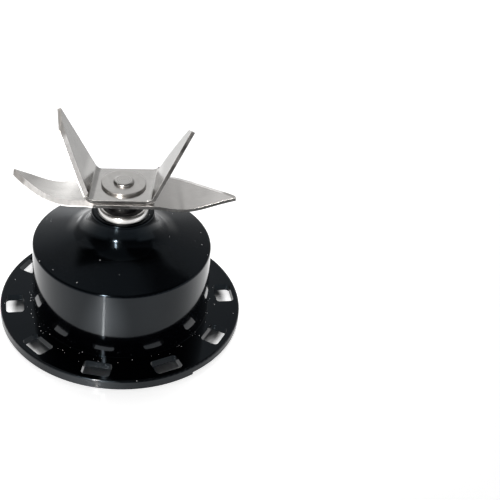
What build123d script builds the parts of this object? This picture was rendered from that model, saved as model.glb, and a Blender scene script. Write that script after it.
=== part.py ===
from build123d import *
import math
import os

# Blender cutter: a moulded base with a bolted-in bearing, and a bladed rotor that turns in it.
# Millimetres, +Z up along the shaft, origin on the shaft axis at the plane that the base stands on.

# Moulded base: flange, windows and locating lugs
FLANGE_DIA = 82.0
FLANGE_THICK = 2.6
FLANGE_EDGE_ROUND = 0.6
LUG_COUNT = 2
LUG_HEIGHT = 0.8
LUG_WIDTH = 1.8
LUG_ARC = 110.0
LUG_TURN = 70.0
WINDOW_COUNT = 10
WINDOW_LENGTH = 9.2
WINDOW_WIDTH = 6.0
WINDOW_CORNER = 1.2
WINDOW_TURN = 6.4
WINDOW_TO_RIM = 2.0
WINDOW_TO_HUB = 2.93

# Moulded base: hub, flared roof and the boss that carries the bearing housing
HUB_EDGE_HEIGHT = 24.6
HUB_DRAFT = 1.8
HUB_WALL = 2.5
HUB_EDGE_ROUND = 0.8
HUB_FOOT_ROUND = 0.1
ROOF_SLOPE = 16.0
FLARE_RADIUS = 8.0
COLLAR_HEIGHT = 37.0
COLLAR_LEDGE = 1.9
COLLAR_LAND = 0.25
COLLAR_ROUND = 0.6
INNER_ROUND = 1.0
RIB_COUNT = 6
RIB_THICK = 1.8
RIB_OUTER_HEIGHT = 4.0

# Shaft and its plain bearings
SHAFT_DIA = 8.0
SHAFT_CHAMFER = 0.4
NECK_STEP = 1.25
NECK_FLAT_DEPTH = 0.65
STUB_STEP = 1.0
PEEN_OVERHANG = 0.55
PEEN_HEIGHT = 0.9
PEEN_ROUND = 0.7
SPACER_STEP = 0.7
BUSHING_WALL = 1.17
BUSHING_LENGTH = 8.0
BUSHING_CHAMFER = 0.3
FELT_GAP = 0.25
THRUST_WASHER_THICK = 0.7
BACKING_WASHER_THICK = 0.5

# Retaining clip in the shaft's groove
CLIP_GROOVE_DEPTH = 0.75
CLIP_THICK = 0.8
CLIP_RIM = 1.4
CLIP_RIM_GAP = 0.8
CLIP_SNAP = 0.1
CLIP_TOOTH = 2.2
CLIP_TEETH = 3
CLIP_TEETH_ARC = 180.0

# Bearing housing, its nut and its seals
HOUSING_WALL = 1.37
HOUSING_LENGTH = 24.2
HOUSING_CHAMFER = 0.6
HEAD_LAND = 0.84
HEAD_HEIGHT = 1.65
HEAD_TAPER = 0.42
HEAD_ROUND = 0.9
SEAL_RECESS_WALL = 1.4
SEAL_RECESS_DEPTH = 0.95
SEAL_STEP = 0.67
SEAL_POCKET_DEPTH = 3.2
SEAL_FLANGE_THICK = 0.8
SEAL_LIP_HEIGHT = 1.0
SEAL_LIP_TAPER = 0.75
SEAL_LIP_GAP = 0.25
O_RING_SECTION = 0.8
O_RING_GROOVE_DEPTH = 0.68
HEX_SIDES = 6
NUT_FLATS = 19.0
NUT_HEIGHT = 5.0
NUT_CHAMFER = 1.0
NUT_CHAMFER_ANGLE = 30.0
NUT_THREAD_RUNOUT = 1.0
LOCK_WASHER_DIA = 19.4
LOCK_WASHER_THICK = 1.0
LOCK_WASHER_SPLIT = 1.4

# Blades: one sheet thickness, a skewed fold line, and a lower plate that shows past the upper one
BLADE_LIFT = 5.35
WING_COUNT = 2
SHEET_THICK = 1.2
CUTTING_EDGE_THICK = 0.35
BEVEL_WIDTH = 1.8
PLATE_DEPTH = 18.7
PLATE_MARGIN = 0.8
FOLD_REACH = 9.5
FOLD_SKEW = 6.3
BEND_RADIUS = 2.2

# Upper blade's folded wing: heights along it from the fold, shifts along the fold towards the cutting edge
WING_ANGLE = 65.2
WING_HEIGHT = 25.5
WING_APEX_SHIFT = -4.7
WING_TIP_DROP = 3.7
WING_TIP_SHIFT = 2.3
WING_BELLY_HEIGHT = 11.9
WING_BELLY_SHIFT = 6.4

# Lower blade's twisted wing, as sections from root to tip:
# reach past the plate, chord, side shift, pitch angle and rise above the plate
TWIST_SECTIONS = (
    (5.0, 17.4, 0.5, 5.6, -1.1),
    (10.5, 15.0, 0.4, 8.6, -1.75),
    (17.5, 10.2, -1.6, 5.0, -0.65),
    (22.0, 6.0, -3.6, 2.5, 0.7),
    (25.5, 2.2, -5.6, 0.0, 1.8),
)

# Clamp washer
CLAMP_WASHER_DIA = 14.2
CLAMP_WASHER_THICK = 0.9
CLAMP_WASHER_ROUND = 0.3

# Drive coupling and the threaded insert in it
SOCKET_DIA = 14.0
SOCKET_DEPTH = 6.0
SOCKET_WEB = 1.2
SPLINE_COUNT = 12
SPLINE_DEPTH = 1.3
SPLINE_WIDTH = 1.9
COUPLING_WALL = 3.2
COUPLING_NECK_STEP = 2.0
COUPLING_NECK_HEIGHT = 2.0
COUPLING_EDGE = 0.8
INSERT_WALL = 3.0
INSERT_HEIGHT = 4.8

# Clearances
RUNNING_CLEARANCE = 0.03
FIT_CLEARANCE = 0.03
END_PLAY = 0.1
COUPLING_GAP = 0.3

# Levels along the shaft, from the standing plane up
FLANGE_BOTTOM = LUG_HEIGHT
FLANGE_TOP = FLANGE_BOTTOM + FLANGE_THICK
HUB_EDGE = FLANGE_TOP + HUB_EDGE_HEIGHT
COLLAR_TOP = FLANGE_TOP + COLLAR_HEIGHT
HEAD_TOP = COLLAR_TOP + HEAD_HEIGHT
O_RING_FLOOR = COLLAR_TOP - O_RING_GROOVE_DEPTH
HOUSING_END = COLLAR_TOP - HOUSING_LENGTH
NUT_BOTTOM = HOUSING_END + NUT_THREAD_RUNOUT
LOCK_WASHER_BOTTOM = NUT_BOTTOM + NUT_HEIGHT
BOSS_END = LOCK_WASHER_BOTTOM + LOCK_WASHER_THICK
SEAL_SEAT = HEAD_TOP - SEAL_RECESS_DEPTH
POCKET_FLOOR = SEAL_SEAT - SEAL_POCKET_DEPTH
UPPER_BUSHING_BOTTOM = POCKET_FLOOR - BUSHING_LENGTH
LOWER_BUSHING_TOP = HOUSING_END + BUSHING_LENGTH
UPPER_WASHER_BOTTOM = POCKET_FLOOR + END_PLAY
SHOULDER = UPPER_WASHER_BOTTOM + THRUST_WASHER_THICK
LOWER_BLADE_BOTTOM = HEAD_TOP + BLADE_LIFT
UPPER_BLADE_BOTTOM = LOWER_BLADE_BOTTOM + SHEET_THICK
PLATE_TOP = UPPER_BLADE_BOTTOM + SHEET_THICK
CLAMP_TOP = PLATE_TOP + CLAMP_WASHER_THICK
LOWER_WASHER_BOTTOM = HOUSING_END - END_PLAY - THRUST_WASHER_THICK
BACKING_WASHER_BOTTOM = LOWER_WASHER_BOTTOM - BACKING_WASHER_THICK
CLIP_BOTTOM = BACKING_WASHER_BOTTOM - CLIP_THICK
COUPLING_TOP = CLIP_BOTTOM - COUPLING_GAP
INSERT_BOTTOM = COUPLING_TOP - INSERT_HEIGHT
COUPLING_BOTTOM = INSERT_BOTTOM - SOCKET_WEB - SOCKET_DEPTH

# Radii, from the shaft outwards
SHAFT = SHAFT_DIA / 2
NECK = SHAFT - NECK_STEP
STUB = SHAFT - STUB_STEP
PEEN = NECK + PEEN_OVERHANG
CLIP_GROOVE = SHAFT - CLIP_GROOVE_DEPTH
CLIP_INSIDE = SHAFT + CLIP_RIM_GAP
CLIP_OUTSIDE = CLIP_INSIDE + CLIP_RIM
SHAFT_HOLE = SHAFT + RUNNING_CLEARANCE
SPACER = SHAFT + SPACER_STEP
SEAL_LIP = SPACER + SEAL_LIP_GAP
BUSHING = SHAFT_HOLE + BUSHING_WALL
HOUSING_BORE = BUSHING + FIT_CLEARANCE
SEAL_POCKET = HOUSING_BORE + SEAL_STEP
HOUSING_BODY = HOUSING_BORE + HOUSING_WALL
HOUSING_FOOT = HOUSING_BODY - HOUSING_CHAMFER
HOUSING_HOLE = HOUSING_BODY + FIT_CLEARANCE
O_RING_GROOVE = HOUSING_HOLE + O_RING_SECTION + FIT_CLEARANCE
HEAD = O_RING_GROOVE + HEAD_LAND
SEAL_RECESS = HEAD - SEAL_RECESS_WALL
COLLAR = HEAD + COLLAR_LEDGE

# Radii, from the rim inwards
FLANGE = FLANGE_DIA / 2
WINDOW_PITCH = FLANGE - WINDOW_TO_RIM - WINDOW_WIDTH / 2
HUB_FOOT = WINDOW_PITCH - WINDOW_WIDTH / 2 - WINDOW_TO_HUB
HUB = HUB_FOOT - HUB_EDGE_HEIGHT * math.tan(math.radians(HUB_DRAFT))
HUB_INSIDE = HUB - HUB_WALL


def turned(points, rounds=()):
    """A solid of revolution about the shaft axis from radius and height points, some rounded."""
    outline = make_face(Polyline(*points, close=True))
    for (radius, height), size in rounds:
        corners = outline.vertices().sort_by_distance((radius, height))
        outline = fillet(corners[0], size)
    return revolve(Plane.XZ * outline, Axis.Z)


def ring(outer, inner, bottom, height):
    """A plain flat ring on the shaft axis."""
    outline = Circle(outer) - Circle(inner)
    return extrude(Plane.XY.offset(bottom) * outline, height)


def hexagon(flats, bottom, height):
    """A hexagonal prism on the shaft axis, by its width across flats."""
    outline = RegularPolygon(flats / 2, HEX_SIDES, major_radius=False)
    return extrude(Plane.XY.offset(bottom) * outline, height)


def keyed_neck(clearance, bottom, height):
    """The shaft's neck with its two flats, or the cutter for a hole that fits it."""
    flats = Rectangle(2 * SHAFT_DIA, 2 * (NECK - NECK_FLAT_DEPTH + clearance))
    return extrude(Plane.XY.offset(bottom) * (Circle(NECK + clearance) & flats), height)


def roof_height(radius):
    """Height of the hub's conical roof at a radius, before it flares into the collar."""
    return HUB_EDGE + (HUB - radius) * math.tan(math.radians(ROOF_SLOPE))


def make_cutter_base():
    drop = HUB_WALL / math.cos(math.radians(ROOF_SLOPE))
    foot_inside = HUB_FOOT + FLANGE_THICK * math.tan(math.radians(HUB_DRAFT)) - HUB_WALL
    points = [
        (O_RING_GROOVE, COLLAR_TOP),
        (COLLAR, COLLAR_TOP),
        (COLLAR, roof_height(COLLAR)),
        (HUB, HUB_EDGE),
        (HUB_FOOT, FLANGE_TOP),
        (FLANGE, FLANGE_TOP),
        (FLANGE, FLANGE_BOTTOM),
        (foot_inside, FLANGE_BOTTOM),
        (HUB_INSIDE, roof_height(HUB_INSIDE) - drop),
        (COLLAR, roof_height(COLLAR) - drop),
        (COLLAR, BOSS_END),
        (HOUSING_HOLE, BOSS_END),
        (HOUSING_HOLE, O_RING_FLOOR),
        (O_RING_GROOVE, O_RING_FLOOR),
    ]
    # The flare takes up what the collar's wall leaves between the roof and its straight land
    flare_room = COLLAR_TOP - COLLAR_ROUND - COLLAR_LAND - roof_height(COLLAR)
    flare_limit = flare_room * math.tan(math.pi / 4 + math.radians(ROOF_SLOPE) / 2)
    rounds = [
        (points[1], COLLAR_ROUND),
        (points[2], min(FLARE_RADIUS, flare_limit)),
        (points[3], HUB_EDGE_ROUND),
        (points[4], HUB_FOOT_ROUND),
        (points[5], FLANGE_EDGE_ROUND),
        (points[8], INNER_ROUND),
        (points[9], INNER_ROUND),
    ]
    base = turned(points, rounds)

    # Gusset ribs under the roof, rooted inside the boss and the hub wall
    boss_root = (COLLAR + HOUSING_HOLE) / 2
    wall_root = HUB - HUB_WALL / 2
    rib_end = roof_height(HUB_INSIDE) - drop - RIB_OUTER_HEIGHT
    rib_outline = make_face(
        Polyline(
            (boss_root, BOSS_END),
            (COLLAR, BOSS_END),
            (HUB_INSIDE, rib_end),
            (wall_root, rib_end),
            (wall_root, roof_height(HUB_INSIDE) - drop / 2),
            (COLLAR, roof_height(COLLAR) - drop / 2),
            (boss_root, roof_height(COLLAR) - drop / 2),
            close=True,
        )
    )
    rib = extrude(Plane.XZ * rib_outline, RIB_THICK / 2, both=True)
    base += PolarLocations(0, RIB_COUNT) * rib

    # Two arc lugs under the rim, flush with its edge
    lug_outline = Pos(FLANGE - LUG_WIDTH / 2, LUG_HEIGHT / 2) * Rectangle(LUG_WIDTH, LUG_HEIGHT)
    lug = Rot(0, 0, -LUG_ARC / 2) * revolve(Plane.XZ * lug_outline, Axis.Z, LUG_ARC)
    base += Rot(0, 0, LUG_TURN) * PolarLocations(0, LUG_COUNT) * lug

    # Ring of rectangular windows through the flange
    window = extrude(RectangleRounded(WINDOW_WIDTH, WINDOW_LENGTH, WINDOW_CORNER), FLANGE_TOP)
    return base - PolarLocations(WINDOW_PITCH, WINDOW_COUNT, start_angle=WINDOW_TURN) * window


def make_bearing_housing():
    points = [
        (SEAL_RECESS, HEAD_TOP),
        (HEAD - HEAD_TAPER, HEAD_TOP),
        (HEAD, COLLAR_TOP),
        (HOUSING_BODY, COLLAR_TOP),
        (HOUSING_BODY, HOUSING_END + HOUSING_CHAMFER),
        (HOUSING_FOOT, HOUSING_END),
        (HOUSING_BORE, HOUSING_END),
        (HOUSING_BORE, POCKET_FLOOR),
        (SEAL_POCKET, POCKET_FLOOR),
        (SEAL_POCKET, SEAL_SEAT),
        (SEAL_RECESS, SEAL_SEAT),
    ]
    return turned(points, [(points[1], HEAD_ROUND)])


def make_shaft_seal():
    pocket = SEAL_POCKET - FIT_CLEARANCE
    flange = SEAL_RECESS - FIT_CLEARANCE
    top = SEAL_SEAT + SEAL_FLANGE_THICK
    lip_end = top - SEAL_LIP_HEIGHT
    throat = (pocket + SEAL_LIP) / 2
    points = [
        (SEAL_LIP, top),
        (flange, top),
        (flange, SEAL_SEAT),
        (pocket, SEAL_SEAT),
        (pocket, POCKET_FLOOR),
        (throat, POCKET_FLOOR),
        (throat, lip_end - SEAL_LIP_TAPER),
        (SEAL_LIP, lip_end),
    ]
    return turned(points)


def make_housing_o_ring():
    middle = Pos(HOUSING_HOLE + O_RING_SECTION / 2, O_RING_FLOOR + O_RING_GROOVE_DEPTH / 2)
    squeezed = middle * Ellipse(O_RING_SECTION / 2, O_RING_GROOVE_DEPTH / 2)
    return revolve(Plane.XZ * squeezed, Axis.Z)


def make_housing_nut():
    top = NUT_BOTTOM + NUT_HEIGHT
    corner = NUT_FLATS / 2 / math.cos(math.pi / HEX_SIDES)
    trim = NUT_CHAMFER * math.tan(math.radians(NUT_CHAMFER_ANGLE))
    points = [
        (HOUSING_HOLE, NUT_BOTTOM),
        (corner - NUT_CHAMFER, NUT_BOTTOM),
        (corner, NUT_BOTTOM + trim),
        (corner, top - trim),
        (corner - NUT_CHAMFER, top),
        (HOUSING_HOLE, top),
    ]
    return hexagon(NUT_FLATS, NUT_BOTTOM, NUT_HEIGHT) & turned(points)


def make_lock_washer():
    washer = ring(LOCK_WASHER_DIA / 2, HOUSING_HOLE, LOCK_WASHER_BOTTOM, LOCK_WASHER_THICK)
    split = Box(LOCK_WASHER_DIA, LOCK_WASHER_SPLIT, 2 * LOCK_WASHER_THICK)
    return washer - Pos(LOCK_WASHER_DIA / 2, 0, LOCK_WASHER_BOTTOM) * split


def make_bushing(bottom):
    top = bottom + BUSHING_LENGTH
    points = [
        (SHAFT_HOLE, bottom),
        (BUSHING - BUSHING_CHAMFER, bottom),
        (BUSHING, bottom + BUSHING_CHAMFER),
        (BUSHING, top - BUSHING_CHAMFER),
        (BUSHING - BUSHING_CHAMFER, top),
        (SHAFT_HOLE, top),
    ]
    return turned(points)


def make_shaft():
    clip_top = CLIP_BOTTOM + CLIP_THICK
    points = [
        (0, INSERT_BOTTOM),
        (STUB - SHAFT_CHAMFER, INSERT_BOTTOM),
        (STUB, INSERT_BOTTOM + SHAFT_CHAMFER),
        (STUB, COUPLING_TOP),
        (SHAFT, COUPLING_TOP),
        (SHAFT, CLIP_BOTTOM),
        (CLIP_GROOVE, CLIP_BOTTOM),
        (CLIP_GROOVE, clip_top),
        (SHAFT, clip_top),
        (SHAFT, SHOULDER),
        (NECK, SHOULDER),
        (NECK, LOWER_BLADE_BOTTOM),
        (0, LOWER_BLADE_BOTTOM),
    ]
    key = keyed_neck(0, LOWER_BLADE_BOTTOM, CLAMP_TOP - LOWER_BLADE_BOTTOM)
    peen_points = [
        (0, CLAMP_TOP),
        (PEEN, CLAMP_TOP),
        (PEEN, CLAMP_TOP + PEEN_HEIGHT),
        (0, CLAMP_TOP + PEEN_HEIGHT),
    ]
    return turned(points) + key + turned(peen_points, [(peen_points[2], PEEN_ROUND)])


def make_retaining_ring():
    """An E-shaped clip: an open rim with teeth that reach into the shaft's groove."""
    rim = Circle(CLIP_OUTSIDE) - Circle(CLIP_INSIDE)
    grip = CLIP_GROOVE + FIT_CLEARANCE
    reach = (CLIP_INSIDE + CLIP_OUTSIDE) / 2
    tooth = Pos((grip + reach) / 2, 0) * Rectangle(reach - grip, CLIP_TOOTH)
    teeth = PolarLocations(
        0, CLIP_TEETH, start_angle=-CLIP_TEETH_ARC / 2, angular_range=CLIP_TEETH_ARC, endpoint=True
    )
    mouth = Pos(-CLIP_OUTSIDE, 0) * Rectangle(2 * CLIP_OUTSIDE, 2 * CLIP_GROOVE - CLIP_SNAP)
    outline = rim - mouth + teeth * tooth
    return extrude(Plane.XY.offset(CLIP_BOTTOM) * outline, CLIP_THICK)


def ground(face, edge):
    """A wing with its cutting edge ground: a long bevel on the given face that leaves a thin edge."""
    return chamfer(edge, BEVEL_WIDTH, SHEET_THICK - CUTTING_EDGE_THICK, reference=face)


def make_upper_blade():
    """A folded sheet: a keyed plate with one wing bent up along a skewed line at each end."""
    tangent = BEND_RADIUS * math.tan(math.radians(WING_ANGLE / 2))
    half_fold = PLATE_DEPTH / 2 / math.cos(math.radians(FOLD_SKEW))
    fold = Pos(FOLD_REACH, 0, PLATE_TOP) * Rot(0, 0, -FOLD_SKEW)
    near = (fold * Pos(-tangent, -half_fold)).position
    far = (fold * Pos(-tangent, half_fold)).position
    plate_outline = make_face(
        Polyline((near.X, near.Y), (far.X, far.Y), (-near.X, -near.Y), (-far.X, -far.Y), close=True)
    )
    plate = extrude(Plane.XY.offset(UPPER_BLADE_BOTTOM) * plate_outline, SHEET_THICK)
    plate -= keyed_neck(FIT_CLEARANCE, UPPER_BLADE_BOTTOM, SHEET_THICK)

    # The bend: the sheet's section turned about an axis above the fold
    section = Pos(-tangent, 0, -SHEET_THICK / 2) * Rot(0, 90, 0) * Rectangle(SHEET_THICK, 2 * half_fold)
    bend = fold * revolve(section, Axis((-tangent, 0, BEND_RADIUS), (0, -1, 0)), WING_ANGLE)

    # The wing: curved and ground cutting edge, sheared tip and straight back edge
    lean = math.radians(WING_ANGLE)
    wing_plane = Plane((0, 0, 0), x_dir=(0, 1, 0), z_dir=(math.sin(lean), 0, -math.cos(lean)))
    tip = (WING_TIP_SHIFT, WING_HEIGHT - WING_TIP_DROP)
    cutting = Spline((half_fold, tangent), (WING_BELLY_SHIFT, WING_BELLY_HEIGHT), tip)
    rest = Polyline(tip, (WING_APEX_SHIFT, WING_HEIGHT), (-half_fold, tangent), (half_fold, tangent))
    wing = extrude(wing_plane * make_face(cutting + rest), SHEET_THICK)
    inner_face = wing.faces().sort_by_distance(wing_plane.from_local_coords((0, WING_BELLY_HEIGHT)))[0]
    wing = ground(inner_face, inner_face.edges().filter_by(GeomType.BSPLINE)[0])
    return plate + PolarLocations(0, WING_COUNT) * (fold * wing + bend)


def twist_section(reach, chord, shift, pitch, rise):
    """One cross-section of the lower blade's wing, square across the reach."""
    middle = (FOLD_REACH + reach, shift, UPPER_BLADE_BOTTOM + rise)
    plane = Plane(middle, x_dir=(0, 1, 0), z_dir=(1, 0, 0))
    outline = Rot(0, 0, pitch) * Pos(0, -SHEET_THICK / 2) * Rectangle(chord, SHEET_THICK)
    return plane * outline


def make_lower_blade():
    """A flat keyed plate with a twisted, upswept wing at each end."""
    middle = LOWER_BLADE_BOTTOM + SHEET_THICK / 2
    depth = PLATE_DEPTH + 2 * PLATE_MARGIN
    plate = Pos(0, 0, middle) * Box(2 * FOLD_REACH, depth, SHEET_THICK)
    root = twist_section(0, depth, 0, 0, 0)
    wing = loft([root] + [twist_section(*values) for values in TWIST_SECTIONS])
    top_face = wing.faces().sort_by(SortBy.AREA)[-2:].sort_by(Axis.Z)[-1]
    wing = ground(top_face, top_face.edges().sort_by(Axis.Y)[-1])
    blade = plate + PolarLocations(0, WING_COUNT) * wing
    return blade - keyed_neck(FIT_CLEARANCE, LOWER_BLADE_BOTTOM, SHEET_THICK)


def make_clamp_washer():
    outline = Circle(CLAMP_WASHER_DIA / 2)
    washer = extrude(Plane.XY.offset(PLATE_TOP) * outline, CLAMP_WASHER_THICK)
    rim = washer.edges().group_by(Axis.Z)[-1]
    hole = keyed_neck(FIT_CLEARANCE, PLATE_TOP, CLAMP_WASHER_THICK)
    return fillet(rim, CLAMP_WASHER_ROUND) - hole


def make_drive_coupling():
    root = SOCKET_DIA / 2 + SPLINE_DEPTH
    body = root + COUPLING_WALL
    neck = body - COUPLING_NECK_STEP
    neck_bottom = COUPLING_TOP - COUPLING_NECK_HEIGHT
    points = [
        (0, COUPLING_BOTTOM),
        (body - COUPLING_EDGE, COUPLING_BOTTOM),
        (body, COUPLING_BOTTOM + COUPLING_EDGE),
        (body, neck_bottom - COUPLING_NECK_STEP),
        (neck, neck_bottom),
        (neck, COUPLING_TOP - COUPLING_EDGE),
        (neck - COUPLING_EDGE, COUPLING_TOP),
        (0, COUPLING_TOP),
    ]
    spline = Pos(root / 2, 0) * Rectangle(root, SPLINE_WIDTH)
    socket = Circle(SOCKET_DIA / 2) + PolarLocations(0, SPLINE_COUNT) * spline
    return (
        turned(points)
        - extrude(Plane.XY.offset(COUPLING_BOTTOM) * socket, SOCKET_DEPTH)
        - hexagon(2 * (STUB + INSERT_WALL + FIT_CLEARANCE), INSERT_BOTTOM, INSERT_HEIGHT)
    )


def make_coupling_insert():
    bore = extrude(Plane.XY.offset(INSERT_BOTTOM) * Circle(STUB + FIT_CLEARANCE), INSERT_HEIGHT)
    return hexagon(2 * (STUB + INSERT_WALL), INSERT_BOTTOM, INSERT_HEIGHT) - bore


PIECES = {
    "cutter_base": make_cutter_base(),
    "bearing_housing": make_bearing_housing(),
    "housing_o_ring": make_housing_o_ring(),
    "lock_washer": make_lock_washer(),
    "housing_nut": make_housing_nut(),
    "upper_bushing": make_bushing(UPPER_BUSHING_BOTTOM),
    "lower_bushing": make_bushing(HOUSING_END),
    "oil_felt": ring(
        BUSHING, SHAFT_HOLE + FELT_GAP, LOWER_BUSHING_TOP, UPPER_BUSHING_BOTTOM - LOWER_BUSHING_TOP
    ),
    "shaft_seal": make_shaft_seal(),
    "shaft": make_shaft(),
    "upper_thrust_washer": ring(SPACER, SHAFT_HOLE, UPPER_WASHER_BOTTOM, THRUST_WASHER_THICK),
    "lower_thrust_washer": ring(HOUSING_FOOT, SHAFT_HOLE, LOWER_WASHER_BOTTOM, THRUST_WASHER_THICK),
    "backing_washer": ring(HOUSING_FOOT, SHAFT_HOLE, BACKING_WASHER_BOTTOM, BACKING_WASHER_THICK),
    "retaining_ring": make_retaining_ring(),
    "blade_spacer": ring(SPACER, NECK + FIT_CLEARANCE, SHOULDER, LOWER_BLADE_BOTTOM - SHOULDER),
    "lower_blade": make_lower_blade(),
    "upper_blade": make_upper_blade(),
    "clamp_washer": make_clamp_washer(),
    "drive_coupling": make_drive_coupling(),
    "coupling_insert": make_coupling_insert(),
}

os.makedirs("parts", exist_ok=True)
for node, piece in PIECES.items():
    export_step(piece, f"parts/{node}.step")
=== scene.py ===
import math

import bmesh
import bpy
from mathutils import Matrix, Vector

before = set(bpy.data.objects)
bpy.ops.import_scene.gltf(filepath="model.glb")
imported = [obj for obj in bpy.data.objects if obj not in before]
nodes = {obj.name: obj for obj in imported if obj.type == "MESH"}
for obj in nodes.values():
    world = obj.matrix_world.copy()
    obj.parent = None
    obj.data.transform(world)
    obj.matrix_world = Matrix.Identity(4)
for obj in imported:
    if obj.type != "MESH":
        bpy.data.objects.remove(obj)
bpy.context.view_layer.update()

# Cutter base: flange, windows, hub, roof and collar in one injection moulding of gloss black plastic.
# The mould was polished, so the skin mirrors what stands round it, most on the hub's wall, the rim and the
# flare; the roof is hazed by wiping, handling has left hairlines, and dust lies on the ledge round the hub.


def place(tree, kind, sockets, **settings):
    node = tree.nodes.new(kind)
    for name, value in settings.items():
        setattr(node, name, value)
    for name, value in sockets.items():
        if isinstance(value, bpy.types.NodeSocket):
            tree.links.new(value, node.inputs[name])
        else:
            node.inputs[name].default_value = value
    return node


def math_node(tree, operation, *values):
    return place(tree, "ShaderNodeMath", dict(enumerate(values)), operation=operation).outputs[0]


def times(tree, product, *factors):
    for factor in factors:
        product = math_node(tree, "MULTIPLY", product, factor)
    return product


def spread(tree, value, start, end, to_start, to_end):
    sockets = {"Value": value, "From Min": start, "From Max": end, "To Min": to_start, "To Max": to_end}
    return place(tree, "ShaderNodeMapRange", sockets, interpolation_type="SMOOTHSTEP").outputs["Result"]


def rising(tree, value, start, end):
    return spread(tree, value, start, end, 0.0, 1.0)


def falling(tree, value, start, end):
    return spread(tree, value, start, end, 1.0, 0.0)


def between(tree, mask, low, high):
    return spread(tree, mask, 0.0, 1.0, low, high)


def effect(name, inputs, outputs):
    group = bpy.data.node_groups.new(name, "ShaderNodeTree")
    for label, value in inputs.items():
        socket = group.interface.new_socket(label, in_out="INPUT", socket_type="NodeSocketFloat")
        socket.default_value = value
    for label in outputs:
        group.interface.new_socket(label, in_out="OUTPUT", socket_type="NodeSocketFloat")
    return group, group.nodes.new("NodeGroupInput").outputs, group.nodes.new("NodeGroupOutput").inputs


def object_point(tree):
    return tree.nodes.new("ShaderNodeTexCoord").outputs["Object"]


def axes_of(tree, vector):
    return place(tree, "ShaderNodeSeparateXYZ", {0: vector}).outputs


def surface_normal(tree):
    return tree.nodes.new("ShaderNodeNewGeometry").outputs["Normal"]


def from_shaft(tree):
    level = place(tree, "ShaderNodeVectorMath", {0: object_point(tree), 1: (1.0, 1.0, 0.0)}, operation="MULTIPLY")
    return place(tree, "ShaderNodeVectorMath", {0: level.outputs[0]}, operation="LENGTH").outputs["Value"]


def noise(tree, point, per_metre, detail=2.0, roughness=0.5):
    sockets = {"Vector": point, "Scale": per_metre, "Detail": detail, "Roughness": roughness}
    return place(tree, "ShaderNodeTexNoise", sockets).outputs["Fac"]


def finish(name, **values):
    material = bpy.data.materials.new(name)
    material.use_nodes = True
    shader = material.node_tree.nodes["Principled BSDF"]
    for socket, value in values.items():
        shader.inputs[socket.replace("_", " ")].default_value = value
    return material, material.node_tree, shader


def use(tree, group, **values):
    sockets = {name.replace("_", " "): value for name, value in values.items()}
    return place(tree, "ShaderNodeGroup", sockets, node_tree=group).outputs


def tint(tree, shader, mask, low, high):
    colours = {0: mask, 6: (*low, 1.0), 7: (*high, 1.0)}
    blend = place(tree, "ShaderNodeMix", colours, data_type="RGBA")
    tree.links.new(blend.outputs[2], shader.inputs["Base Color"])


def roughen(tree, shader, mask, low, high):
    tree.links.new(between(tree, mask, low, high), shader.inputs["Roughness"])


def emboss(tree, shader, height, depth, base=None):
    bump = place(tree, "ShaderNodeBump", {"Height": height, "Distance": depth, "Strength": 1.0})
    if base:
        tree.links.new(base, bump.inputs["Normal"])
    tree.links.new(bump.outputs["Normal"], shader.inputs["Normal"])


def dress(material, *names):
    for name in names:
        nodes[name].data.materials.clear()
        nodes[name].data.materials.append(material)


# soft unevenness of a polished or wiped surface
PATCH_CONTRAST = (0.3, 0.7)
mottle, given, result = effect("mottle", {"Patches per metre": 80.0}, ["Patch"])
patch = noise(mottle, object_point(mottle), given["Patches per metre"], detail=3.0)
mottle.links.new(rising(mottle, patch, *PATCH_CONTRAST), result["Patch"])

# thin wiping scratches, crossing at two angles
WIPES = (((0.2, 0.1, 0.5), 16.0), ((0.1, 0.3, 2.1), 22.0))
WIPE_LEVEL = 0.62
WIPE_WIDTH = 0.006
hairlines, given, result = effect("hairlines", {"Lines per metre": 260.0}, ["Line"])
lines = []
for turn, stretch in WIPES:
    turned = {"Vector": object_point(hairlines), "Rotation": turn, "Scale": (1.0, stretch, stretch)}
    swept = place(hairlines, "ShaderNodeMapping", turned).outputs["Vector"]
    field = noise(hairlines, swept, given["Lines per metre"], detail=1.0)
    offset = math_node(hairlines, "ABSOLUTE", math_node(hairlines, "SUBTRACT", field, WIPE_LEVEL))
    lines.append(falling(hairlines, offset, 0.0, WIPE_WIDTH))
hairlines.links.new(math_node(hairlines, "MAXIMUM", *lines), result["Line"])

# loose specks that settle on faces that look up
SPECK_SIZES = (0.07, 0.21)
LOOKS_UP = (0.5, 0.9)
dust, given, result = effect("dust", {"Specks per metre": 1300.0, "Share": 0.1}, ["Speck"])
sown = {"Vector": object_point(dust), "Scale": given["Specks per metre"]}
cells = place(dust, "ShaderNodeTexVoronoi", sown).outputs
chance = place(dust, "ShaderNodeSeparateColor", {"Color": cells["Color"]}).outputs
chosen = math_node(dust, "LESS_THAN", chance["Red"], given["Share"])
spot = math_node(dust, "LESS_THAN", cells["Distance"], between(dust, chance["Green"], *SPECK_SIZES))
level = rising(dust, axes_of(dust, surface_normal(dust))["Z"], *LOOKS_UP)
dust.links.new(times(dust, chosen, spot, level), result["Speck"])

# where the parts of the moulding begin and end, from the shaft's axis or over the floor
LEDGE_FOOT = (0.028, 0.030)
LEDGE_DUST = (0.030, 0.035)
WALL_FOOT = (0.0036, 0.0046)
WALL_TOP = (0.0270, 0.0276)
ROOF_START = (0.0276, 0.0286)
RIM_EDGE = (0.0402, 0.0408)
FLARE_TOP = (0.0142, 0.0156)
FLARE_FOOT = (0.016, 0.0195)
FLARE_WIPED = (0.014, 0.018)
FLARE_BACK = (-0.002, 0.006)

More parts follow.
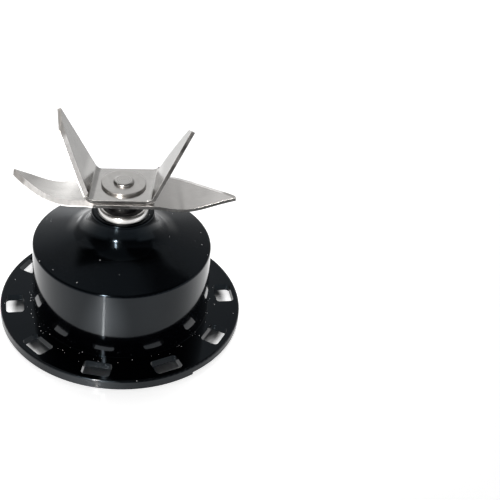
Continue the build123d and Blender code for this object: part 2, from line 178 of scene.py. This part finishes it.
BASE_BLACK = (0.0012, 0.0015, 0.0026)
COOL_GLOSS = (0.62, 0.82, 1.0, 1.0)
DUST_GREY = (0.85, 0.85, 0.86)
DUST_SHARE = (0.018, 0.4)
DUST_ROUGH = 0.6
MOULD_ROUGH = (0.06, 0.1)
HAIRLINE_ROUGH = 0.12
ROOF_HAZE = 0.12
FLARE_HAZE = 0.06
RIM_HAZE = 0.2
WALL_POLISH = 0.34
RIM_POLISH = 0.3
SINK_DEPTH = 0.00003
gloss_black, tree, shader = finish("gloss_black_moulding", IOR=1.255, Specular_Tint=COOL_GLOSS,
                                   Coat_IOR=1.5, Coat_Roughness=0.08)
reach = from_shaft(tree)
point = axes_of(tree, object_point(tree))
sheltered = times(tree, rising(tree, reach, *LEDGE_FOOT), falling(tree, reach, *LEDGE_DUST))
speck = use(tree, dust, Share=between(tree, sheltered, *DUST_SHARE))["Speck"]
tint(tree, shader, speck, BASE_BLACK, DUST_GREY)
tree.links.new(speck, shader.inputs["Metallic"])
haze = spread(tree, reach, *FLARE_WIPED, FLARE_HAZE, ROOF_HAZE)
haze = times(tree, haze, rising(tree, point["Z"], *ROOF_START))
rough = math_node(tree, "ADD", between(tree, use(tree, mottle)["Patch"], *MOULD_ROUGH), haze)
rough = math_node(tree, "ADD", rough, spread(tree, reach, *RIM_EDGE, 0.0, RIM_HAZE))
rough = math_node(tree, "MULTIPLY_ADD", use(tree, hairlines)["Line"], HAIRLINE_ROUGH, rough)
rough = math_node(tree, "MULTIPLY_ADD", speck, DUST_ROUGH, rough)
tree.links.new(rough, shader.inputs["Roughness"])
wall = times(tree, spread(tree, point["Z"], *WALL_FOOT, 0.0, WALL_POLISH), falling(tree, point["Z"], *WALL_TOP))
rim = spread(tree, reach, *RIM_EDGE, 0.0, RIM_POLISH)
flare = times(tree, rising(tree, reach, *FLARE_TOP), falling(tree, reach, *FLARE_FOOT),
              rising(tree, point["Y"], *FLARE_BACK))
polished = math_node(tree, "MAXIMUM", math_node(tree, "MAXIMUM", wall, rim), flare)
tree.links.new(polished, shader.inputs["Coat Weight"])
emboss(tree, shader, use(tree, mottle, Patches_per_metre=45.0)["Patch"], SINK_DEPTH)
dress(gloss_black, "cutter_base")

# Bearing housing, its nut, the backing washer and the shaft: stainless steel, turned on a lathe.
# The tool leaves fine rings about the axis; the housing's rounded head is the bright ring in the collar.
RING_CONTRAST = (0.25, 0.75)
turning, given, result = effect("turning_lines", {"Rings per metre": 4000.0}, ["Ring", "Height"])
along = axes_of(turning, object_point(turning))["Z"]
section = place(turning, "ShaderNodeCombineXYZ", {"X": from_shaft(turning), "Y": along}).outputs[0]
ring = noise(turning, section, given["Rings per metre"], detail=3.0, roughness=0.6)
turning.links.new(rising(turning, ring, *RING_CONTRAST), result["Ring"])
turning.links.new(ring, result["Height"])

TURNED = {
    "polished_housing": ((0.82, 0.81, 0.795), (0.93, 0.92, 0.905), ("bearing_housing",)),
    "turned_stainless": ((0.42, 0.412, 0.4), (0.5, 0.491, 0.478), ("housing_nut", "backing_washer", "shaft")),
}
LATHE_ROUGH = (0.2, 0.32)
LATHE_DEPTH = 0.000006
for name, (dark, high_tint, pieces) in TURNED.items():
    turned_steel, tree, shader = finish(name, Metallic=1.0)
    lathe = use(tree, turning)
    tint(tree, shader, lathe["Ring"], dark, high_tint)
    roughen(tree, shader, lathe["Ring"], *LATHE_ROUGH)
    emboss(tree, shader, lathe["Height"], LATHE_DEPTH)
    dress(turned_steel, *pieces)

# O-ring under the housing's head and lip seal in its mouth: moulded black rubber.
# Rubber is dull, with a faint bloom and a fine pitted skin.
RUBBER_BLACK = (0.011, 0.011, 0.013)
RUBBER_BLOOM = (0.03, 0.03, 0.033)
RUBBER_ROUGH = (0.5, 0.62)
RUBBER_PITS = 0.00001
rubber, tree, shader = finish("black_rubber", IOR=1.5)
bloom = use(tree, mottle, Patches_per_metre=600.0)["Patch"]
tint(tree, shader, bloom, RUBBER_BLACK, RUBBER_BLOOM)
roughen(tree, shader, bloom, *RUBBER_ROUGH)
emboss(tree, shader, noise(tree, object_point(tree), per_metre=6000.0), RUBBER_PITS)
dress(rubber, "housing_o_ring", "shaft_seal")

# Lock washer under the nut and retaining ring on the shaft: spring steel, hardened and oiled.
# Hardening leaves it dark and slightly brown, brighter where handling has rubbed it.
SPRING_DARK = (0.11, 0.108, 0.11)
SPRING_RUBBED = (0.24, 0.235, 0.23)
SPRING_ROUGH = (0.42, 0.28)
spring_steel, tree, shader = finish("oiled_spring_steel", Metallic=1.0)
rubbed = use(tree, mottle, Patches_per_metre=900.0)["Patch"]
tint(tree, shader, rubbed, SPRING_DARK, SPRING_RUBBED)
roughen(tree, shader, rubbed, *SPRING_ROUGH)
dress(spring_steel, "lock_washer", "retaining_ring")

# Upper and lower bushings: sintered bronze, pressed from powder and soaked with oil.
# The pores show as fine dark pits in a dull gold skin.
BRONZE_PORE = (0.30, 0.19, 0.09)
BRONZE_SKIN = (0.56, 0.37, 0.19)
BRONZE_ROUGH = (0.6, 0.38)
PORE_EDGES = (0.38, 0.5)
PORE_DEPTH = 0.00002
bronze, tree, shader = finish("sintered_bronze", Metallic=1.0)
skin = rising(tree, noise(tree, object_point(tree), per_metre=5000.0), *PORE_EDGES)
tint(tree, shader, skin, BRONZE_PORE, BRONZE_SKIN)
roughen(tree, shader, skin, *BRONZE_ROUGH)
emboss(tree, shader, skin, PORE_DEPTH)
dress(bronze, "upper_bushing", "lower_bushing")

# Oil felt: a ring of wool felt between the bushings that feeds them oil.
# Matted fibres, yellowed where the oil has soaked in.
FELT_OILED = (0.33, 0.27, 0.16)
FELT_WOOL = (0.55, 0.51, 0.42)
FELT_ROUGH = (0.8, 1.0)
FIBRE_CONTRAST = (0.2, 0.8)
FIBRE_DEPTH = 0.00015
felt, tree, shader = finish("oil_felt_wool", Sheen_Weight=0.3)
tint(tree, shader, use(tree, mottle, Patches_per_metre=300.0)["Patch"], FELT_OILED, FELT_WOOL)
fibres = noise(tree, object_point(tree), per_metre=4500.0, detail=4.0, roughness=0.7)
tree.links.new(spread(tree, fibres, *FIBRE_CONTRAST, *FELT_ROUGH), shader.inputs["Roughness"])
emboss(tree, shader, fibres, FIBRE_DEPTH)
dress(felt, "oil_felt")

# Thrust washers: natural nylon, punched from sheet, one above the upper bushing and one under the lower.
# Milky and waxy, with a rubbed track where they run.
NYLON_MILK = (0.80, 0.79, 0.74)
NYLON_TRACK = (0.66, 0.63, 0.55)
NYLON_ROUGH = (0.38, 0.5)
TRACK_DEPTH = 0.000008
nylon, tree, shader = finish("natural_nylon", Subsurface_Weight=0.15, Subsurface_Scale=0.001)
track = use(tree, turning, Rings_per_metre=1500.0)
tint(tree, shader, track["Ring"], NYLON_MILK, NYLON_TRACK)
roughen(tree, shader, track["Ring"], *NYLON_ROUGH)
emboss(tree, shader, track["Height"], TRACK_DEPTH)
dress(nylon, "upper_thrust_washer", "lower_thrust_washer")

# Blade spacer and drive coupling: satin black plastic, moulded in a spark-eroded mould.
# The fine even texture of the mould scatters light; edges that run against metal are polished.
PLASTIC_BLACK = (0.014, 0.014, 0.016)
PLASTIC_RUBBED = (0.026, 0.026, 0.028)
PLASTIC_ROUGH = (0.34, 0.46)
SPARK_DEPTH = 0.000025
satin_black, tree, shader = finish("satin_black_plastic", IOR=1.49)
worn = use(tree, mottle, Patches_per_metre=250.0)["Patch"]
tint(tree, shader, worn, PLASTIC_BLACK, PLASTIC_RUBBED)
roughen(tree, shader, worn, *PLASTIC_ROUGH)
emboss(tree, shader, noise(tree, object_point(tree), per_metre=3500.0), SPARK_DEPTH)
dress(satin_black, "blade_spacer", "drive_coupling")

# Coupling insert: a threaded brass insert, turned and moulded into the coupling.
# Bright yellow metal with lathe rings.
BRASS_DARK = (0.55, 0.39, 0.16)
BRASS_BRIGHT = (0.76, 0.58, 0.27)
brass, tree, shader = finish("turned_brass", Metallic=1.0)
lathe = use(tree, turning, Rings_per_metre=3000.0)
tint(tree, shader, lathe["Ring"], BRASS_DARK, BRASS_BRIGHT)
roughen(tree, shader, lathe["Ring"], *LATHE_ROUGH)
emboss(tree, shader, lathe["Height"], LATHE_DEPTH)
dress(brass, "coupling_insert")

# Lower and upper blades: stainless sheet, blanked, folded and tumbled to a satin finish.
# The rolling grain runs along each blade; the upright wings are painted darker than the plate and the upper blade
# darker than the lower, as painted shade.
# The cutting edges are ground to a bevel across the grain; the blanked edges are torn, painted near-black, partly
# their own dark torn finish and partly painted shade, with their rounded rims painted near-white as a painted
# highlight.
GRAIN_CONTRAST = (0.25, 0.75)
sheet_grain, given, result = effect("sheet_grain", {"Along": 60.0, "Across": 2600.0}, ["Streak", "Height"])
point = axes_of(sheet_grain, object_point(sheet_grain))
scaled = {axis: math_node(sheet_grain, "MULTIPLY", point[axis], given[way])
          for axis, way in (("X", "Along"), ("Y", "Across"), ("Z", "Along"))}
drawn = place(sheet_grain, "ShaderNodeCombineXYZ", scaled).outputs[0]
streak = noise(sheet_grain, drawn, 1.0, detail=3.0, roughness=0.6)
sheet_grain.links.new(rising(sheet_grain, streak, *GRAIN_CONTRAST), result["Streak"])
sheet_grain.links.new(streak, result["Height"])

# painted shade: the upper blade is tinted darker than the lower blade
SHEET_TINTS = {
    "lower_blade": ((0.435, 0.422, 0.409), (0.625, 0.611, 0.594)),
    "upper_blade": ((0.31, 0.304, 0.296), (0.525, 0.516, 0.504)),
}
# painted shade: above this height the upright wings are painted darker than the flat plate
WING_FOOT = (0.0535, 0.0565)
WING_PAINTED_SHADE = 0.6
CLOUD_SHADE = 0.2
GRAIN_SHADE = 0.2
SHEET_ROUGH = (0.14, 0.2)
CLOUD_ROUGH = 0.04
GRAIN_DEPTH = 0.0000015
EDGE_ROUND = 0.00024
for name, (low_tint, high_tint) in SHEET_TINTS.items():
    blade_steel, tree, shader = finish(name + "_steel", Metallic=1.0)
    rolled = use(tree, sheet_grain)
    cloud = use(tree, mottle, Patches_per_metre=220.0)["Patch"]
    shade = spread(tree, axes_of(tree, object_point(tree))["Z"], *WING_FOOT, WING_PAINTED_SHADE, 0.0)
    shade = math_node(tree, "MULTIPLY_ADD", cloud, CLOUD_SHADE, shade)
    shade = math_node(tree, "MULTIPLY_ADD", rolled["Streak"], GRAIN_SHADE, shade)
    tint(tree, shader, shade, low_tint, high_tint)
    satin = between(tree, rolled["Streak"], *SHEET_ROUGH)
    tree.links.new(math_node(tree, "MULTIPLY_ADD", cloud, CLOUD_ROUGH, satin), shader.inputs["Roughness"])
    tumbled = place(tree, "ShaderNodeBevel", {"Radius": EDGE_ROUND}, samples=6).outputs["Normal"]
    emboss(tree, shader, rolled["Height"], GRAIN_DEPTH, tumbled)
    dress(blade_steel, name)

GROUND_DULL = (0.42, 0.41, 0.395)
GROUND_BRIGHT = (0.99, 0.986, 0.98)
GROUND_ROUGH = (0.56, 0.7)
TIP_HEIGHT = (0.066, 0.069)
TIP_REACH = (0.0298, 0.0328)
BEVEL_SHADE = 0.72
WHEEL_PATCH = 0.17
WHEEL_STREAK = 0.11
ground_steel, tree, shader = finish("ground_cutting_edge", Metallic=1.0)
wheel = use(tree, sheet_grain, Along=1500.0, Across=120.0)["Streak"]
tip = math_node(tree, "MAXIMUM", rising(tree, axes_of(tree, object_point(tree))["Z"], *TIP_HEIGHT),
                rising(tree, from_shaft(tree), *TIP_REACH))
shade = math_node(tree, "MULTIPLY_ADD", use(tree, mottle, Patches_per_metre=330.0)["Patch"], WHEEL_PATCH,
                  between(tree, tip, BEVEL_SHADE, 0.0))
shade = math_node(tree, "MULTIPLY_ADD", wheel, WHEEL_STREAK, shade)
tint(tree, shader, shade, GROUND_DULL, GROUND_BRIGHT)
roughen(tree, shader, wheel, *GROUND_ROUGH)

# torn faces painted near-black (partly painted shade), rounded rims painted near-white (painted highlight)
SHEARED_DARK_AND_PAINTED_SHADE = (0.03, 0.0295, 0.029)
BURNISH_AND_PAINTED_HIGHLIGHT = (0.92, 0.915, 0.905)
SHEARED_ROUGH = (0.34, 0.5)
TORN_CONTRAST = (0.3, 0.7)
TORN_DEPTH = 0.00001
BURNISH_EDGES = (0.3, 0.6)
BURNISH = (0.05, 0.13)
ROUNDED = (0.8, 0.98)
sheared_steel, tree, shader = finish("sheared_sheet_edge", Metallic=1.0)
torn = noise(tree, object_point(tree), per_metre=2500.0, detail=3.0, roughness=0.6)
burnish = times(tree, use(tree, mottle, Patches_per_metre=170.0)["Patch"],
                spread(tree, torn, *BURNISH_EDGES, *BURNISH))
tumbled = place(tree, "ShaderNodeBevel", {"Radius": EDGE_ROUND}, samples=8).outputs["Normal"]
bent = place(tree, "ShaderNodeVectorMath", {0: tumbled, 1: surface_normal(tree)}, operation="DOT_PRODUCT")
# painted highlight: on the rounded rims, where the tumbled normal bends away, the colour turns near-white
painted_edge_highlight = falling(tree, bent.outputs["Value"], *ROUNDED)
tint(tree, shader, math_node(tree, "MAXIMUM", burnish, painted_edge_highlight), SHEARED_DARK_AND_PAINTED_SHADE, BURNISH_AND_PAINTED_HIGHLIGHT)
tree.links.new(spread(tree, torn, *TORN_CONTRAST, *SHEARED_ROUGH), shader.inputs["Roughness"])
emboss(tree, shader, torn, TORN_DEPTH, tumbled)

# which of a sheet's faces are ground or sheared, by the way they look
BEVEL_LOOKS_UP = 0.4
BEVEL_LOOKS_ASIDE = 0.2
CUT_LOOKS_LEVEL = 0.3
THIN_EDGE = 0.0006
ROLLED, GROUND, SHEARED = range(3)


def cad_faces(mesh):
    owner = list(range(len(mesh.vertices)))

    def root(corner):
        while owner[corner] != corner:
            corner = owner[corner]
        return corner

    for face in mesh.polygons:
        for corner in face.vertices[1:]:
            owner[root(corner)] = root(face.vertices[0])
    groups = {}
    for face in mesh.polygons:
        groups.setdefault(root(face.vertices[0]), []).append(face)
    return groups.values()


for name in SHEET_TINTS:
    sheet = nodes[name].data
    sheet.materials.append(ground_steel)
    sheet.materials.append(sheared_steel)
    for group in cad_faces(sheet):
        facing = sum((face.normal * face.area for face in group), Vector()).normalized()
        if facing.z > BEVEL_LOOKS_UP and abs(facing.y) > BEVEL_LOOKS_ASIDE:
            skin = GROUND
        elif abs(facing.z) < CUT_LOOKS_LEVEL:
            corners = [sheet.vertices[corner].co for face in group for corner in face.vertices]
            length = max((corner - corners[0]).length for corner in corners)
            skin = SHEARED if sum(face.area for face in group) > length * THIN_EDGE else GROUND
        else:
            skin = ROLLED
        for face in group:
            face.material_index = skin

# Clamp washer: a round stainless washer under the shaft's peened head, which holds both blades.
# Punched from sheet and tumbled, so its edge is rounded and its face is satin.
WASHER_DULL = (0.455, 0.445, 0.432)
WASHER_BRIGHT = (0.52, 0.51, 0.496)
WASHER_ROUGH = (0.28, 0.36)
WASHER_DEPTH = 0.000002
washer_steel, tree, shader = finish("tumbled_washer_steel", Metallic=1.0)
cloud = use(tree, mottle, Patches_per_metre=500.0)["Patch"]
tint(tree, shader, cloud, WASHER_DULL, WASHER_BRIGHT)
roughen(tree, shader, cloud, *WASHER_ROUGH)
emboss(tree, shader, use(tree, turning, Rings_per_metre=2500.0)["Height"], WASHER_DEPTH)
dress(washer_steel, "clamp_washer")

# Studio floor: a wide sheet of satin white board that the object stands on, with its soft shadow.
# It is lifted to white for the eye and for mirrors alike, except in the shade under the flange.
# In mirrors only, a painted pool of light, an added glow, lies at its front left, and a patch of painted shade at
# its front right.
FLOOR_HALF = 2.5
FLOOR_PARTS = 8
FLOOR_WHITE = (0.86, 0.86, 0.86, 1.0)
WHITE = (1.0, 1.0, 1.0, 1.0)
FLANGE_SHADE = (0.0354, 0.0384)
LIFT_FADES = (0.05, 0.13)
LIFT = (0.9, 0.6)
POOL_CENTRE = (-0.0125, -0.052, 0.0)
POOL_REACH = 0.024
POOL = 1.7
# painted shade in mirrors: the floor's glow is taken down at its front right
PAINTED_SHADE_CENTRE = (0.046, -0.03, 0.0)
PAINTED_SHADE_REACH = 0.035
PAINTED_SHADE_LEVEL = -0.35


def distance_from(tree, centre):
    ends = {0: object_point(tree), 1: centre}
    return place(tree, "ShaderNodeVectorMath", ends, operation="DISTANCE").outputs["Value"]


board = bmesh.new()
bmesh.ops.create_grid(board, x_segments=FLOOR_PARTS, y_segments=FLOOR_PARTS, size=FLOOR_HALF)
floor_mesh = bpy.data.meshes.new("studio_floor")
board.to_mesh(floor_mesh)
board.free()
floor = bpy.data.objects.new("studio_floor", floor_mesh)
bpy.context.scene.collection.objects.link(floor)
white_board, tree, shader = finish("white_board", Base_Color=FLOOR_WHITE, Roughness=0.32, Emission_Color=WHITE,
                                   Coat_Weight=1.0, Coat_Roughness=0.05, Coat_IOR=1.6)
path = tree.nodes.new("ShaderNodeLightPath").outputs
mirrored = math_node(tree, "MAXIMUM", path["Is Glossy Ray"], path["Is Transmission Ray"])
seen = math_node(tree, "MAXIMUM", path["Is Camera Ray"], mirrored)
reach = distance_from(tree, (0.0, 0.0, 0.0))
lit = math_node(tree, "MAXIMUM", rising(tree, reach, *FLANGE_SHADE), path["Is Glossy Ray"])
lift = times(tree, lit, spread(tree, reach, *LIFT_FADES, *LIFT))
# painted light and shade in mirrors only: a glow added at the front left and taken away at the front right
painted_pool_and_shade = math_node(tree, "ADD", spread(tree, distance_from(tree, POOL_CENTRE), 0.0, POOL_REACH, POOL, 0.0),
                 spread(tree, distance_from(tree, PAINTED_SHADE_CENTRE), 0.0, PAINTED_SHADE_REACH, PAINTED_SHADE_LEVEL, 0.0))
painted_pool_and_shade = times(tree, painted_pool_and_shade, path["Is Glossy Ray"])
tree.links.new(math_node(tree, "MULTIPLY_ADD", seen, lift, painted_pool_and_shade), shader.inputs["Emission Strength"])
floor_mesh.materials.append(white_board)

# Studio light: a room that is bright low behind the object and at its sides, and dim in front, at the left,
# overhead on the right and in the far right corner, with a low glow behind that only mirrors show.
# A strip and a bulb at the front left show only as highlights; a soft panel behind lights the floor.
BEHIND = (
    (0.0, 1.0), (0.2, 0.95), (0.3, 0.86), (0.42, 0.95), (0.52, 1.0), (0.58, 0.88), (0.66, 0.72),
    (0.72, 0.7), (0.84, 0.7), (0.92, 0.62), (1.0, 0.48),
)
FRONT = ((0.0, 0.9), (0.2, 0.5), (0.3, 0.15), (0.5, 0.12), (0.8, 0.25), (1.0, 0.3))
BEHIND_STARTS = (0.0, 0.5)
SIDE_TURN = (0.55, 0.8)
SIDE_TOP = (0.3, 0.45)
SIDE_LIGHT = 0.95
CORNER_SLANT = (0.66, 0.96)
CORNER_BACK = (0.1, 0.4)
CORNER_TOP = (0.46, 0.8)
CORNER_DIM = 0.5
LEFT_TURN = (-0.5, -0.32)
LEFT_RISE = (0.1, 0.3)
LEFT_DIM = 0.5
OVER_TURN = (0.06, 0.26)
OVER_RISE = (0.7, 0.8)
OVER_DIM = 0.15
FILL_BACK = (0.15, 0.55)
FRONT_FILL = 0.03
GLOW_FOOT = (0.1, 0.17)
GLOW_TOP = (0.18, 0.3)
GLOW_ENDS = (0.26, 0.4)
GLOW_BACK = (0.8, 0.9)
GLOW_TURN = (-0.2, 0.2)
GLOW = (2.08, 0.0)


def room_levels(tree, rise, levels):
    ramp = place(tree, "ShaderNodeValToRGB", {"Fac": rise})
    stops = ramp.color_ramp.elements
    while len(stops) < len(levels):
        stops.new(0.5)
    for stop, (position, level) in zip(stops, levels):
        stop.position = position
        stop.color = (level, level, level, 1.0)
    return ramp.outputs["Color"]


room = bpy.data.worlds.new("studio_room")
bpy.context.scene.world = room
room.use_nodes = True
tree = room.node_tree
heading = axes_of(tree, tree.nodes.new("ShaderNodeTexCoord").outputs["Generated"])
aside = math_node(tree, "ABSOLUTE", heading["X"])
path = tree.nodes.new("ShaderNodeLightPath").outputs
walls = {0: rising(tree, heading["Y"], *BEHIND_STARTS), 6: room_levels(tree, heading["Z"], FRONT),
         7: room_levels(tree, heading["Z"], BEHIND)}
wall = place(tree, "ShaderNodeMix", walls, data_type="RGBA").outputs[2]
sides = times(tree, spread(tree, aside, *SIDE_TURN, 0.0, SIDE_LIGHT), falling(tree, heading["Z"], *SIDE_TOP))
slant = math_node(tree, "MULTIPLY_ADD", heading["X"], 2.0, heading["Z"])
corner = times(tree, rising(tree, slant, *CORNER_SLANT), rising(tree, heading["Y"], *CORNER_BACK),
               falling(tree, heading["Z"], *CORNER_TOP))
left = times(tree, falling(tree, heading["X"], *LEFT_TURN), rising(tree, heading["Z"], *LEFT_RISE))
over = times(tree, rising(tree, heading["X"], *OVER_TURN), rising(tree, heading["Z"], *OVER_RISE))
fill = spread(tree, heading["Y"], *FILL_BACK, FRONT_FILL, 1.0)
light = times(tree, math_node(tree, "MAXIMUM", wall, sides), between(tree, corner, 1.0, CORNER_DIM),
              between(tree, left, 1.0, LEFT_DIM), between(tree, over, 1.0, OVER_DIM),
              between(tree, path["Is Diffuse Ray"], 1.0, fill))
glow = times(tree, rising(tree, heading["Z"], *GLOW_FOOT), falling(tree, heading["Z"], *GLOW_TOP),
             falling(tree, aside, *GLOW_ENDS), rising(tree, heading["Y"], *GLOW_BACK),
             spread(tree, heading["X"], *GLOW_TURN, *GLOW))
light = math_node(tree, "MULTIPLY_ADD", glow, path["Is Glossy Ray"], light)
background = tree.nodes["Background"].inputs
tree.links.new(math_node(tree, "MAXIMUM", light, path["Is Camera Ray"]), background["Strength"])
background["Color"].default_value = WHITE

LAMP_TARGET = Vector((0.0, 0.0, 0.03))
LAMP_COLOUR = (1.0, 0.95, 0.91)
LAMP_TURN = -20.5
LAMP_AWAY = 0.6


def hang_lamp(name, width, height, watts, turn, rise, away):
    turn, rise = math.radians(turn), math.radians(rise)
    toward = Vector((math.sin(turn) * math.cos(rise), -math.cos(turn) * math.cos(rise), math.sin(rise)))
    shine = bpy.data.lights.new(name, "AREA")
    shine.shape = "ELLIPSE"
    shine.size = width
    shine.size_y = height
    shine.energy = watts
    lamp = bpy.data.objects.new(name, shine)
    bpy.context.scene.collection.objects.link(lamp)
    lamp.location = LAMP_TARGET + toward * away
    lamp.rotation_euler = (-toward).to_track_quat("-Z", "Y").to_euler()
    return lamp


strip = hang_lamp("strip_lamp", 0.024, 0.24, watts=2.0, turn=LAMP_TURN, rise=40.5, away=LAMP_AWAY)
bulb = hang_lamp("bulb", 0.045, 0.03, watts=4.5, turn=LAMP_TURN, rise=22.5, away=LAMP_AWAY)
for lamp in (strip, bulb):
    lamp.data.color = LAMP_COLOUR
    lamp.visible_diffuse = False
panel = hang_lamp("back_panel", 0.9, 0.9, watts=6.0, turn=180.0, rise=46.0, away=1.0)
panel.visible_glossy = False

# Camera: in front and above, as in the photograph, with the object in the left half of the frame.
# Its place and lens were fitted to the flange, the hub, the collar and the blades.
CAMERA_PLACE = (-0.00224, -0.2537, 0.21343)
CAMERA_TURN = math.radians(4.400)
CAMERA_DIP = math.radians(38.326)
CAMERA_ROLL = math.radians(3.990)
UPRIGHT = math.radians(90.0)
camera_data = bpy.data.cameras.new("photo_camera")
camera_data.sensor_width = 36.0
camera_data.lens = 68.58
camera_data.shift_x = 0.156
camera_data.shift_y = 0.0576
camera_data.clip_start = 0.005
camera = bpy.data.objects.new("photo_camera", camera_data)
bpy.context.scene.collection.objects.link(camera)
camera.matrix_world = (Matrix.Translation(CAMERA_PLACE) @ Matrix.Rotation(-CAMERA_TURN, 4, "Z")
                       @ Matrix.Rotation(UPRIGHT - CAMERA_DIP, 4, "X") @ Matrix.Rotation(CAMERA_ROLL, 4, "Z"))
bpy.context.scene.camera = camera
bpy.context.scene.view_settings.view_transform = "Standard"
